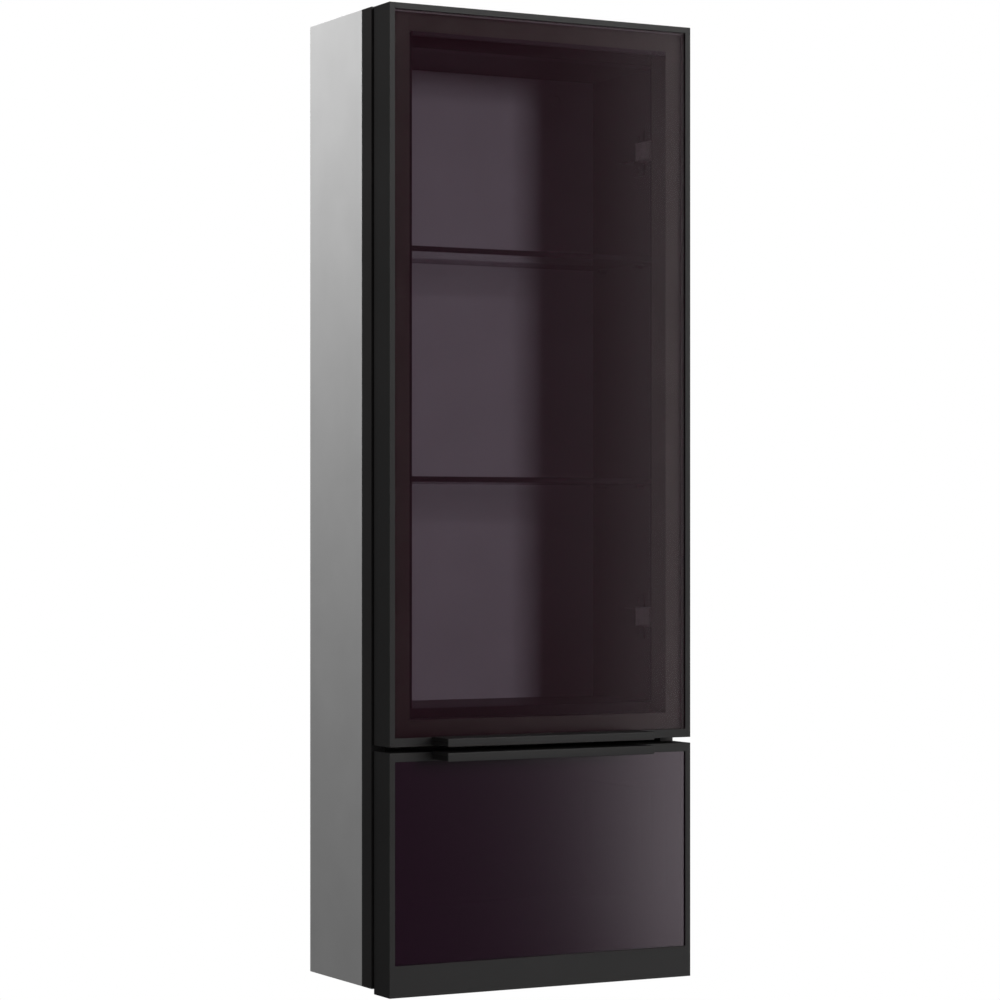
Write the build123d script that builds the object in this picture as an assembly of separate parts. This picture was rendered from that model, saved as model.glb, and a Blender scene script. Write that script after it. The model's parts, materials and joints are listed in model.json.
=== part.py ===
from build123d import *
import os

# Wall-hung display cabinet with one glass door above one glass-fronted drawer.
# Millimetres.  +X is to the right seen from the front, -Y is the front, +Z is up.
# The origin is on the wall plane, at the centre of the four wall-fixing holes.

# ---- driving dimensions -------------------------------------------------------
FRONT_HEIGHT = 1000.0        # door and drawer front together, with the gap between them
FRONT_WIDTH = 353.0
DRAWER_FRONT_HEIGHT = 246.0
FRONT_SPLIT = 6.0            # gap between the door and the drawer front
FRONT_DEPTH = 36.0           # thickness of the framed glass fronts
TOTAL_DEPTH = 187.0          # wall plane to the face of the fronts
BACK_GAP = 2.4               # between the fronts and the carcass
CARCASS_WIDTH = 356.6
CARCASS_RAISE = 5.0          # the fronts hang this far below the carcass
CARCASS_HEIGHT = 995.5
BOARD = 16.0                 # carcass board thickness
TOP_BOARD = 38.0             # the top board is thicker
EDGE_DEPTH = 22.5            # black front edge frame, front to back
BACK_BOARD = 6.0
DIVIDER_HEIGHT = 280.0       # middle of the fixed shelf between door and drawer
SHELF_HEIGHTS = (522.4, 758.6)
SHELF_GLASS = 6.0
SHELF_SETBACK = 10.0
FIXING_SPACING_X = 230.0
FIXING_SPACING_Z = 880.0
FIXING_HOLE_R = 3.0

# framed front profile, measured inward from the outer edge and back from the face
LIP = 6.0                    # visible lip on the stiles and the door's top rail
LIP_MEETING = 8.9            # lip on the two rails that meet at the split
LIP_BASE = 32.0              # lip on the drawer front's bottom rail
WALL = 1.8
TUBE_WIDTH = 26.0            # hollow rear chamber of the profile
TUBE_MEETING = 37.0          # chamber of the drawer front's top rail
TUBE_BASE = 89.0             # chamber of the drawer front's bottom rail
TUBE_START = 7.3             # where the chamber starts behind the face
GLASS = 4.0
GLASS_EDGE = 2.4             # glass edge to the outer edge of the frame
GASKET_EDGE = 8.0

HINGE_INSET = 126.0          # hinge centre to the door's top or bottom edge
PIVOT_IN = 2.1               # pivot axis inward from the door's hinge edge
PIVOT_DEEP = 1.8             # pivot axis forward of the door's back face
EYE_R = 3.0
PIN_R = 1.5
RUNNING = 0.06               # radial clearance of the eye on its pin
ARM_HALF = 8.0               # half the height of a hinge arm

HANDLE_LEFT = -129.0
HANDLE_RIGHT = 111.0
HANDLE_OUT = 36.0            # how far the pulls stand out from the fronts
HANDLE_WALL = 2.2
HANDLE_TOP = 3.2             # thickness of the pull's upper flange

DRAWER_BOARD = 12.0
RUNNER_SPACE = 12.7          # each side, between drawer box and carcass
RUNNER_HEIGHT = 62.0         # middle of the runners above the fronts' bottom
CLEAR = 0.1                  # around screws and dowels

# ---- places worked out from them ----------------------------------------------
BASE = -FRONT_HEIGHT / 2
HALF_FRONT = FRONT_WIDTH / 2
HALF_CARCASS = CARCASS_WIDTH / 2
INSIDE = HALF_CARCASS - BOARD
FACE = -TOTAL_DEPTH
FRONT_BACK = FACE + FRONT_DEPTH
EDGE_FACE = FRONT_BACK + BACK_GAP
BOARD_FRONT = EDGE_FACE + EDGE_DEPTH
CARCASS_LOW = BASE + CARCASS_RAISE
CARCASS_TOP = CARCASS_LOW + CARCASS_HEIGHT
DIVIDER_LOW = BASE + DIVIDER_HEIGHT - BOARD / 2
LEVEL_BOARDS = (             # name, underside and thickness of the boards between the sides
    ("top", CARCASS_TOP - TOP_BOARD, TOP_BOARD),
    ("bottom", CARCASS_LOW, BOARD),
    ("middle", DIVIDER_LOW, BOARD),
)
DOOR_LOW = BASE + DRAWER_FRONT_HEIGHT + FRONT_SPLIT
DOOR_TOP = BASE + FRONT_HEIGHT
DRAWER_TOP = BASE + DRAWER_FRONT_HEIGHT
PIVOT_X = HALF_FRONT - PIVOT_IN
PIVOT_Y = FRONT_BACK - PIVOT_DEEP
HINGE_HEIGHTS = (DOOR_TOP - HINGE_INSET, DOOR_LOW + HINGE_INSET)

parts = {}


def block(x0, x1, y0, y1, z0, z1):
    """A box between two corners."""
    size = Box(x1 - x0, y1 - y0, z1 - z0)
    return Pos((x0 + x1) / 2, (y0 + y1) / 2, (z0 + z1) / 2) * size


def rod(radius, x, y, z, length, along):
    """A round bar from a point, running for a length along +X, +Y or +Z."""
    turn = {"x": Rot(0, 90, 0), "y": Rot(-90, 0, 0), "z": Rot(0, 0, 0)}[along]
    bar = Cylinder(radius, length, align=(Align.CENTER, Align.CENTER, Align.MIN))
    return Pos(x, y, z) * turn * bar


def screw(x, y, z, along, shank, shank_r=1.5, head_r=3.0, head=1.4, grow=0.0):
    """A pan-head screw: the head starts at the point, the shank runs from it along an axis.

    A negative shank runs the other way, and grow makes the clearance hole of the same screw.
    """
    step = 1 if shank > 0 else -1
    axis = {"x": (step, 0, 0), "y": (0, step, 0), "z": (0, 0, step)}[along]
    total = head + abs(shank)
    far = [p + a * total for p, a in zip((x, y, z), axis)]
    mid = [p + a * head for p, a in zip((x, y, z), axis)]
    head_start = (x, y, z) if step > 0 else mid
    shank_start = mid if step > 0 else far
    cap = rod(head_r + grow, *head_start, head, along)
    return cap + rod(shank_r + grow, *shank_start, abs(shank), along)


def group(solids):
    """Identical pieces kept as separate solids of one node."""
    return Compound(children=[piece.solid() if hasattr(piece, "solid") else piece for piece in solids])


def cut(names, tools):
    """Take clearance holes out of the named boards."""
    for name in names:
        for tool in tools:
            parts[name] = parts[name] - tool


# ---- carcass ----------------------------------------------------------------------
def make_carcass():
    """Light boards, a thicker one on top, closed in front by a black edge frame."""
    for side, name in ((-1, "left"), (1, "right")):
        x0, x1 = sorted((side * INSIDE, side * HALF_CARCASS))
        parts["side_panel_" + name] = block(x0, x1, BOARD_FRONT, 0, CARCASS_LOW, CARCASS_TOP)
        parts["front_edge_" + name] = block(x0, x1, EDGE_FACE, BOARD_FRONT, CARCASS_LOW, CARCASS_TOP)
    for name, low, thick in LEVEL_BOARDS:
        board = "divider_panel" if name == "middle" else name + "_panel"
        parts[board] = block(-INSIDE, INSIDE, BOARD_FRONT, -BACK_BOARD, low, low + thick)
        parts["front_edge_" + name] = block(-INSIDE, INSIDE, EDGE_FACE, BOARD_FRONT, low, low + thick)
    parts["back_panel"] = block(-INSIDE, INSIDE, -BACK_BOARD, 0, CARCASS_LOW, CARCASS_TOP)
    fixings = [
        rod(FIXING_HOLE_R, sx * FIXING_SPACING_X / 2, -BACK_BOARD - 1, sz * FIXING_SPACING_Z / 2,
            BACK_BOARD + 2, "y")
        for sx in (-1, 1) for sz in (-1, 1)
    ]
    cut(["back_panel"], fixings)


def make_board_joints():
    """Dowels between the boards and the sides, and screws that hold the back board."""
    dowel_r = 4.0
    dowel_half = 11.0
    dowels = []
    holes = []
    for name, low, thick in LEVEL_BOARDS:
        for side in (-1, 1):
            for y in (-100.0, -35.0):
                x = side * INSIDE - dowel_half
                z = low + thick / 2
                dowels.append(rod(dowel_r, x, y, z, 2 * dowel_half, "x"))
                holes.append(rod(dowel_r + CLEAR, x - 0.5, y, z, 2 * dowel_half + 1, "x"))
    cut(["top_panel", "bottom_panel", "divider_panel", "side_panel_left", "side_panel_right"], holes)
    parts["board_dowels"] = group(dowels)
    screws = []
    holes = []
    for name, low, thick in LEVEL_BOARDS:
        for x in (-140.0, 0.0, 140.0):
            z = low + thick / 2
            screws.append(screw(x, 0, z, "y", -20.0))
            holes.append(screw(x, 0.3, z, "y", -20.5, head=1.8, grow=CLEAR))
    cut(["back_panel", "top_panel", "bottom_panel", "divider_panel"], holes)
    parts["back_panel_screws"] = group(screws)


def make_shelves():
    """Two clear glass shelves on eight pins."""
    pin_r = 2.5
    pin_in = 9.0
    pin_out = 8.0
    pins = []
    holes = []
    for name, height in zip(("lower", "upper"), SHELF_HEIGHTS):
        low = BASE + height - SHELF_GLASS / 2
        pane = block(-INSIDE + 1, INSIDE - 1, EDGE_FACE + SHELF_SETBACK, -BACK_BOARD - 1,
                     low, low + SHELF_GLASS)
        parts["shelf_" + name] = chamfer(pane.edges().filter_by(Axis.X), 0.6)
        for side in (-1, 1):
            for y in (-112.0, -32.0):
                start = side * INSIDE - (pin_out if side > 0 else pin_in)
                z = low - pin_r
                pins.append(rod(pin_r, start, y, z, pin_in + pin_out, "x"))
                hole_start = INSIDE if side > 0 else -INSIDE - pin_in - 0.5
                holes.append(rod(pin_r + CLEAR, hole_start, y, z, pin_in + 0.5, "x"))
    cut(["side_panel_left", "side_panel_right"], holes)
    parts["shelf_pins"] = group(pins)


def make_bumpers():
    """Soft dots on the black edge frame that the fronts close against."""
    places = ((-1, DOOR_TOP - 45), (-1, DOOR_LOW + 45), (-1, BASE + 60), (1, BASE + 60))
    thickness = BACK_GAP - 0.2
    x = HALF_CARCASS - BOARD / 2
    dots = [rod(4.0, side * x, EDGE_FACE - thickness, z, thickness, "y") for side, z in places]
    parts["bumpers"] = group(dots)


# ---- framed glass fronts ------------------------------------------------------------
def flat(points, y0, y1):
    """A flat plate: an outline in X and Z, made thick from y0 to y1."""
    face = make_face(Polyline(*[(x, 0, z) for x, z in points], close=True))
    solid = extrude(face, amount=y1 - y0, dir=(0, 1, 0))
    return Pos(0, y0, 0) * solid


def trapezoid(side, low, high, w0, w1):
    """Outline of one mitred frame member between two distances from the outer edge."""
    left, right = -HALF_FRONT, HALF_FRONT
    if side == "bottom":
        return [(left + w0, low + w0), (left + w1, low + w1), (right - w1, low + w1), (right - w0, low + w0)]
    if side == "top":
        return [(left + w0, high - w0), (left + w1, high - w1), (right - w1, high - w1), (right - w0, high - w0)]
    edge, step = (left, 1) if side == "left" else (right, -1)
    return [(edge + step * w0, low + w0), (edge + step * w1, low + w1),
            (edge + step * w1, high - w1), (edge + step * w0, high - w0)]


def skin(side, low, high, lip):
    """The mitred face lip and outer wall of one frame member."""
    shell = flat(trapezoid(side, low, high, 0, WALL), FACE, FRONT_BACK)
    shell += flat(trapezoid(side, low, high, 0, LIP), FACE, FACE + WALL)
    if lip > LIP:
        z0, z1 = (low + LIP, low + lip) if side == "bottom" else (high - lip, high - LIP)
        shell += block(-HALF_FRONT + LIP, HALF_FRONT - LIP, FACE, FACE + WALL, z0, z1)
    return shell


def stile(side, low, high):
    """An upright frame member: its chamber runs from rail wall to rail wall."""
    step = 1 if side == "left" else -1
    edge = -step * HALF_FRONT

    def span(w0, w1, y0, y1):
        x0, x1 = sorted((edge + step * w0, edge + step * w1))
        return block(x0, x1, y0, y1, low + WALL, high - WALL)

    shell = skin(side, low, high, LIP) + span(0, TUBE_WIDTH, FACE + TUBE_START, FRONT_BACK)
    return shell - span(WALL, TUBE_WIDTH - WALL, FACE + TUBE_START + WALL, FRONT_BACK - WALL)


def rail(side, low, high, lip, tube):
    """A level frame member: its chamber butts against the two stiles."""
    reach = HALF_FRONT - TUBE_WIDTH

    def span(w0, w1, y0, y1):
        z0, z1 = (low + w0, low + w1) if side == "bottom" else (high - w1, high - w0)
        return block(-reach, reach, y0, y1, z0, z1)

    shell = skin(side, low, high, lip) + span(0, tube, FACE + TUBE_START, FRONT_BACK)
    return shell - span(WALL, tube - WALL, FACE + TUBE_START + WALL, FRONT_BACK - WALL)


def make_front(name, low, high, top, bottom):
    """Frame, glass, gasket and cleats; top and bottom give each rail's lip and chamber width."""
    parts[name + "_stile_left"] = stile("left", low, high)
    parts[name + "_stile_right"] = stile("right", low, high)
    parts[name + "_rail_top"] = rail("top", low, high, *top)
    parts[name + "_rail_bottom"] = rail("bottom", low, high, *bottom)
    glass_face = FACE + WALL
    parts[name + "_glass"] = block(-HALF_FRONT + GLASS_EDGE, HALF_FRONT - GLASS_EDGE,
                                   glass_face, glass_face + GLASS, low + GLASS_EDGE, high - GLASS_EDGE)
    ring = block(-HALF_FRONT + GLASS_EDGE, HALF_FRONT - GLASS_EDGE, glass_face + GLASS,
                 FACE + TUBE_START, low + GLASS_EDGE, high - GLASS_EDGE)
    ring -= block(-HALF_FRONT + GASKET_EDGE, HALF_FRONT - GASKET_EDGE, glass_face + GLASS - 1,
                  FACE + TUBE_START + 1, low + GASKET_EDGE, high - GASKET_EDGE)
    parts[name + "_gasket"] = ring
    make_corners(name, low, high)


def make_corners(name, low, high):
    """Cleats in the rail ends: one screw from behind, one through the stile's inner wall."""
    inset = WALL + CLEAR
    wide = TUBE_WIDTH - WALL - CLEAR
    long = 30.0
    y0 = FACE + TUBE_START + WALL + CLEAR
    y1 = FRONT_BACK - WALL - CLEAR
    reach = HALF_FRONT - TUBE_WIDTH
    cleats = []
    screws = []
    for sx, hand in ((-1, "left"), (1, "right")):
        for edge, up, end in ((low, 1, "bottom"), (high, -1, "top")):
            x0, x1 = sorted((sx * reach, sx * (reach - long)))
            z0, z1 = sorted((edge + up * inset, edge + up * wide))
            middle = edge + up * TUBE_WIDTH / 2
            rear_x = sx * (reach - 20.0)
            rear_hole = rod(1.5 + CLEAR, rear_x, FRONT_BACK - 10.5, middle, 11.5, "y")
            tie_hole = rod(1.5 + CLEAR, min(sx * (reach + 3), sx * (reach - 12.5)), y1 - 12, middle, 15.5, "x")
            cleats.append(block(x0, x1, y0, y1, z0, z1) - rear_hole - tie_hole)
            screws.append(screw(rear_x, FRONT_BACK + 1.2, middle, "y", -10.0, head=1.2))
            screws.append(screw(sx * (reach + WALL + 1.2), y1 - 12, middle, "x", -sx * 12.0, head=1.2))
            cut([f"{name}_rail_{end}"], [rear_hole])
            cut([f"{name}_stile_{hand}"], [tie_hole])
    parts[name + "_corner_cleats"] = group(cleats)
    parts[name + "_corner_screws"] = group(screws)


def pull(low, high):
    """A pull of folded section: root on the frame, upper flange and a hanging lip."""
    root = block(HANDLE_LEFT, HANDLE_RIGHT, FACE - HANDLE_WALL, FACE, low, high)
    flange = block(HANDLE_LEFT, HANDLE_RIGHT, FACE - HANDLE_OUT, FACE, high - HANDLE_TOP, high)
    lip = block(HANDLE_LEFT, HANDLE_RIGHT, FACE - HANDLE_OUT, FACE - HANDLE_OUT + HANDLE_WALL, low, high)
    whole = root + flange + lip
    front_edges = whole.edges().filter_by(Axis.X).group_by(Axis.Y)[0]
    return fillet(front_edges, 0.7)


# ---- door hinges -----------------------------------------------------------------------
def make_hinges():
    """Cranked hinges: an arm in the carcass with an eye, and a forked leaf in the door frame."""
    plate_screws = []
    plate_holes = []
    leaf_screws = []
    pins = []
    arm_in = 12.0
    plate = 2.0
    cover_half = 10.0
    cover_back = -119.0
    arm_back = -74.0
    for name, z in zip(("upper", "lower"), HINGE_HEIGHTS):
        wall = INSIDE - plate
        base = block(wall, INSIDE, -118, -96, z - 24, z + 24)
        base += block(wall, INSIDE, -136, -70, z - ARM_HALF, z + ARM_HALF)
        for dz in (-17.0, 17.0):
            plate_screws.append(screw(wall - 1.4, -107, z + dz, "x", 13.0))
            hole = rod(1.5 + CLEAR, wall - 1, -107, z + dz, 15.0, "x")
            plate_holes.append(hole)
            base = base - hole
        parts["hinge_plate_" + name] = base

        strip = EDGE_FACE - 1.6
        arm = block(wall - 9, PIVOT_X, strip, EDGE_FACE, z - ARM_HALF, z + ARM_HALF)
        bar = block(wall - 9, wall, strip, arm_back, z - ARM_HALF, z + ARM_HALF)
        arm += fillet(bar.edges().filter_by(Axis.X).group_by(Axis.Y)[-1], 5.0)
        cover = block(wall - arm_in, wall, strip, cover_back, z - cover_half, z + cover_half)
        arm += fillet(cover.faces().sort_by(Axis.X)[0].edges(), 2.5)
        arm += rod(EYE_R, PIVOT_X, PIVOT_Y, z - ARM_HALF, 2 * ARM_HALF, "z")
        arm += block(PIVOT_X - EYE_R, PIVOT_X, PIVOT_Y, EDGE_FACE, z - ARM_HALF, z + ARM_HALF)
        arm = arm - rod(PIN_R + RUNNING, PIVOT_X, PIVOT_Y, z - 20, 40, "z")
        parts["hinge_arm_" + name] = arm

        lug_low = ARM_HALF + 0.4
        lug_high = lug_low + 2.6
        notch_half = lug_high + 0.5
        notch_in = PIVOT_X - 6.0
        notch = block(notch_in, HALF_FRONT + 5, FRONT_BACK - 6.0, FRONT_BACK + 1, z - notch_half, z + notch_half)
        parts["door_stile_right"] = parts["door_stile_right"] - notch
        leaf_x0 = HALF_FRONT - TUBE_WIDTH + WALL + CLEAR
        leaf = block(leaf_x0, notch_in, FRONT_BACK - 20, FRONT_BACK - WALL - CLEAR, z - 21, z + 21)
        for sign in (-1, 1):
            z0, z1 = sorted((z + sign * lug_low, z + sign * lug_high))
            leaf += block(notch_in - 1, PIVOT_X, PIVOT_Y - EYE_R, FRONT_BACK - WALL - CLEAR, z0, z1)
            leaf += rod(EYE_R, PIVOT_X, PIVOT_Y, z0, z1 - z0, "z")
        leaf = leaf - rod(PIN_R + 0.02, PIVOT_X, PIVOT_Y, z - 20, 40, "z")
        for dz in (-16.0, 16.0):
            place = (leaf_x0 + 6, FRONT_BACK + 1.2, z + dz)
            leaf_screws.append(screw(*place, "y", -10.0, head=1.2))
            hole = rod(1.5 + CLEAR, place[0], FRONT_BACK - 10.5, place[2], 11.5, "y")
            leaf = leaf - hole
            parts["door_stile_right"] = parts["door_stile_right"] - hole
        parts["hinge_leaf_" + name] = leaf
        pins.append(rod(PIN_R, PIVOT_X, PIVOT_Y, z - lug_high, 2 * lug_high, "z"))
    cut(["side_panel_right"], plate_holes)
    parts["hinge_plate_screws"] = group(plate_screws)
    parts["hinge_leaf_screws"] = group(leaf_screws)
    parts["hinge_pins"] = group(pins)


# ---- drawer box and runners -----------------------------------------------------------
def make_drawer_box():
    """An open box behind the drawer front, with a grooved-in bottom."""
    half = INSIDE - RUNNER_SPACE
    low = BASE + 26.0
    top = BASE + 196.0
    front_top = BASE + TUBE_BASE - 1.0
    back = -18.0
    bottom = 6.0
    lift = 6.0
    inner = half - DRAWER_BOARD
    for side, name in ((-1, "left"), (1, "right")):
        x0, x1 = sorted((side * inner, side * half))
        parts["drawer_side_" + name] = block(x0, x1, FRONT_BACK, back, low, top)
    parts["drawer_inner_front"] = block(-inner, inner, FRONT_BACK, FRONT_BACK + DRAWER_BOARD, low, front_top)
    parts["drawer_back"] = block(-inner, inner, back - DRAWER_BOARD, back, low, top)
    groove = 5.0
    sheet = (-inner - groove, inner + groove, FRONT_BACK + DRAWER_BOARD - groove, back - DRAWER_BOARD + groove)
    parts["drawer_bottom"] = block(*sheet, low + lift, low + lift + bottom)
    slot = block(sheet[0], sheet[1], sheet[2], sheet[3], low + lift, low + lift + bottom)
    cut(["drawer_side_left", "drawer_side_right", "drawer_inner_front", "drawer_back"], [slot])


def make_runners():
    """Nested channel runners: the outer one on the carcass, the inner one on the drawer."""
    steel = 1.5
    play = 0.5
    outer_half = 18.0
    z = BASE + RUNNER_HEIGHT
    y0, y1 = EDGE_FACE + 6, -12.0
    box_side = INSIDE - RUNNER_SPACE
    rail_screws = []
    slide_screws = []
    for side, name in ((-1, "left"), (1, "right")):
        def beam(a, b, low, high, front, back):
            x0, x1 = sorted((side * a, side * b))
            return block(x0, x1, front, back, low, high)

        rail = beam(INSIDE - 8.5, INSIDE, z - outer_half, z + outer_half, y0, y1)
        rail -= beam(INSIDE - 9, INSIDE - steel, z - outer_half + steel, z + outer_half - steel, y0 - 1, y1 + 1)
        inner_half = outer_half - steel - play
        slide = beam(box_side, INSIDE - steel - play - 1.0, z - inner_half, z + inner_half, y0, y1 - 8)
        slide -= beam(box_side + steel, INSIDE, z - inner_half + steel, z + inner_half - steel, y0 - 1, y1)
        rail_holes = []
        for y in (-120.0, -35.0):
            start = side * (INSIDE - steel - 1.0)
            rail_screws.append(screw(start, y, z, "x", side * 13.0, head=1.0))
            hole = rod(1.5 + CLEAR, min(side * (INSIDE - 3), side * (INSIDE + 13)), y, z, 16.0, "x")
            rail = rail - hole
            rail_holes.append(hole)
        cut(["side_panel_" + name], rail_holes)
        side_holes = []
        for y in (-110.0, -45.0):
            start = side * (box_side + steel + 1.0)
            slide_screws.append(screw(start, y, z, "x", -side * 11.0, head=1.0))
            hole = rod(1.5 + CLEAR, min(side * (box_side - 10.5), side * (box_side + 3)), y, z, 13.5, "x")
            slide = slide - hole
            side_holes.append(hole)
        cut(["drawer_side_" + name], side_holes)
        parts["runner_rail_" + name] = rail
        parts["runner_slide_" + name] = slide
    parts["runner_rail_screws"] = group(rail_screws)
    parts["runner_slide_screws"] = group(slide_screws)


def make_drawer_brackets():
    """Angle brackets that carry the framed front on the drawer box."""
    box_side = INSIDE - RUNNER_SPACE
    steel = 2.0
    leg = 10.5
    brackets = []
    screws = []
    for side in (-1, 1):
        for z in (BASE + 110.0, BASE + 165.0):
            x0, x1 = sorted((side * box_side, side * (box_side + leg)))
            bracket = block(x0, x1, FRONT_BACK, FRONT_BACK + steel, z - 12, z + 12)
            x0, x1 = sorted((side * box_side, side * (box_side + steel)))
            bracket += block(x0, x1, FRONT_BACK, FRONT_BACK + 28, z - 12, z + 12)
            front_hole = rod(1.5 + CLEAR, side * (box_side + 7), FRONT_BACK - 8.5, z, 12.0, "y")
            side_hole = rod(1.5 + CLEAR, min(side * (box_side - 9.5), side * (box_side + 3)),
                            FRONT_BACK + 18, z, 12.5, "x")
            brackets.append(bracket - front_hole - side_hole)
            head_y = FRONT_BACK + steel + 1.2
            screws.append(screw(side * (box_side + 7), head_y, z, "y", -10.0, head_r=2.6, head=1.2))
            head_x = side * (box_side + steel + 1.2)
            screws.append(screw(head_x, FRONT_BACK + 18, z, "x", -side * 11.0, head_r=2.6, head=1.2))
            name = "left" if side < 0 else "right"
            cut(["drawer_stile_" + name], [front_hole])
            cut(["drawer_side_" + name], [side_hole])
    parts["drawer_front_brackets"] = group(brackets)
    parts["drawer_bracket_screws"] = group(screws)


make_carcass()
make_board_joints()
make_shelves()
make_bumpers()
make_front("door", DOOR_LOW, DOOR_TOP, (LIP, TUBE_WIDTH), (LIP_MEETING, TUBE_WIDTH))
make_front("drawer", BASE, DRAWER_TOP, (LIP_MEETING, TUBE_MEETING), (LIP_BASE, TUBE_BASE))
parts["door_handle"] = pull(DOOR_LOW + 1.0, DOOR_LOW + 9.4)
parts["drawer_handle"] = pull(DRAWER_TOP - 7.7, DRAWER_TOP + 1.2)
make_hinges()
make_drawer_box()
make_runners()
make_drawer_brackets()

os.makedirs("parts", exist_ok=True)
for name, solid in parts.items():
    solid.label = name
    export_step(solid, f"parts/{name}.step")
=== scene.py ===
import json
import logging
import math
from collections.abc import Callable
from dataclasses import dataclass, field
from enum import Enum

import bmesh
import bpy
import numpy as np
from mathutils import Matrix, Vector


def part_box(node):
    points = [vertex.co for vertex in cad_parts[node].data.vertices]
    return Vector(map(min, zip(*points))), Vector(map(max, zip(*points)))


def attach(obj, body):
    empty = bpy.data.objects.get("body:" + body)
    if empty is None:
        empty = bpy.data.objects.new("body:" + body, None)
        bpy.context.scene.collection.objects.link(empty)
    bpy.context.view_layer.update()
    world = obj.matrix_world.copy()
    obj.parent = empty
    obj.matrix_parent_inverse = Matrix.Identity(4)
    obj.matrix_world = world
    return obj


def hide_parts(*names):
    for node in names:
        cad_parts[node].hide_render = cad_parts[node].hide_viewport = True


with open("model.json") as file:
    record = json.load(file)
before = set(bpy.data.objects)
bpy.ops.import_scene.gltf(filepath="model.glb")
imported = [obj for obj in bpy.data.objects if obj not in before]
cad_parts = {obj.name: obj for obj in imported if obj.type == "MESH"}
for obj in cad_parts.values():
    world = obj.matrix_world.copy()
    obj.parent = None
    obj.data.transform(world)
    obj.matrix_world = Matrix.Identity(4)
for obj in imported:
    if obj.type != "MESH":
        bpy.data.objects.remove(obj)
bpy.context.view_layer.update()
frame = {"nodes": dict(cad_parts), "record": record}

MM = 0.001
SHARP_POINT = 1e-6
WELD = 1e-6
log = logging.getLogger("display_cabinet")


# ---------------------------------------------------------------- small helpers
def linear(hex_colour: str) -> tuple[float, float, float, float]:
    """Turn an sRGB hex colour into linear values, by the sRGB curve.

    Args:
        hex_colour: six hex digits, without a hash sign.
    Returns:
        Red, green, blue and an alpha of 1.
    """
    channels = np.array([int(hex_colour[i:i + 2], 16) for i in (0, 2, 4)]) / 255
    curve = np.where(channels <= 0.04045, channels / 12.92, ((channels + 0.055) / 1.055) ** 2.4)
    return (*curve.tolist(), 1.0)


def add_node(tree: bpy.types.NodeTree, kind: str, settings: dict | None = None,
             links: dict | None = None) -> bpy.types.Node:
    """Add a node with its settings and links.

    Args:
        tree: the node tree.
        kind: Blender's name of the node type.
        settings: socket values by socket name or number, and node properties by a name that starts with
            a dot.
        links: output sockets by the name or number of the input that each feeds.
    Returns:
        The new node.
    """
    node = tree.nodes.new(kind)
    for key, value in (settings or {}).items():
        if isinstance(key, str) and key.startswith("."):
            setattr(node, key[1:], value)
        else:
            node.inputs[key].default_value = value
    for key, output in (links or {}).items():
        tree.links.new(output, node.inputs[key])
    return node


def corners(node: str) -> tuple[np.ndarray, np.ndarray]:
    """Lowest and highest corner of a CAD node, as arrays in metres."""
    low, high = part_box(node)
    return np.array(low), np.array(high)


# ---------------------------------------------------------------- surfaces
@dataclass
class Shell:
    """A closed surface: points, and faces as tuples of point numbers."""

    points: np.ndarray
    faces: list[tuple[int, ...]]

    def __add__(self, other: "Shell") -> "Shell":
        """Both shells as one list of points and faces."""
        shift = len(self.points)
        moved = [tuple(i + shift for i in f) for f in other.faces]
        return Shell(np.vstack([self.points, other.points]), self.faces + moved)


def grid_faces(rows: int, columns: int, close_rows: bool = False) -> list[tuple[int, ...]]:
    """Quads of a grid whose columns wrap round: each joins a point, its right neighbour and the two above.

    Args:
        rows: number of rings of points.
        columns: points in each ring.
        close_rows: whether the last ring joins the first.
    Returns:
        The faces, by row-major point number.
    """
    row = np.arange(rows if close_rows else rows - 1)[:, None]
    column = np.arange(columns)[None, :]
    right = (column + 1) % columns
    above = (row + 1) % rows
    quads = np.stack([row * columns + column, row * columns + right,
                      above * columns + right, above * columns + column], -1)
    return [tuple(q) for q in quads.reshape(-1, 4).tolist()]


def rounded_block(low: np.ndarray, high: np.ndarray, radius: float, steps: int = 3) -> Shell:
    """A box with all its edges and corners rounded.

    Each point is a corner of the inner box, which is the box less the radius, plus the radius along a
    direction. The direction runs round four quarter turns of longitude and two of latitude, each with its
    ends repeated, so the flat faces open between them.

    Args:
        low: lowest corner, in metres.
        high: highest corner, in metres.
        radius: edge radius, in metres.
        steps: points in each quarter turn.
    Returns:
        The closed shell, with faces outward.
    """
    quarter = np.linspace(0, math.pi / 2, steps)
    around = np.concatenate([quarter + k * math.pi / 2 for k in range(4)])
    side_x = np.repeat([1, -1, -1, 1], steps)
    side_y = np.repeat([1, 1, -1, -1], steps)
    up = np.concatenate([quarter - math.pi / 2, quarter])
    side_z = np.repeat([-1, 1], steps)
    centre = (low + high) / 2
    half = (high - low) / 2 - radius
    ring = np.cos(up)[:, None]
    x = centre[0] + side_x[None] * half[0] + radius * ring * np.cos(around)[None]
    y = centre[1] + side_y[None] * half[1] + radius * ring * np.sin(around)[None]
    z = np.broadcast_to((centre[2] + side_z * half[2] + radius * np.sin(up))[:, None], x.shape)
    points = np.stack([x, y, z], -1).reshape(-1, 3)
    columns = len(around)
    bottom = tuple(range(columns))[::-1]
    top = tuple(range(len(points) - columns, len(points)))
    return Shell(points, grid_faces(len(up), columns) + [bottom, top])


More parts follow.
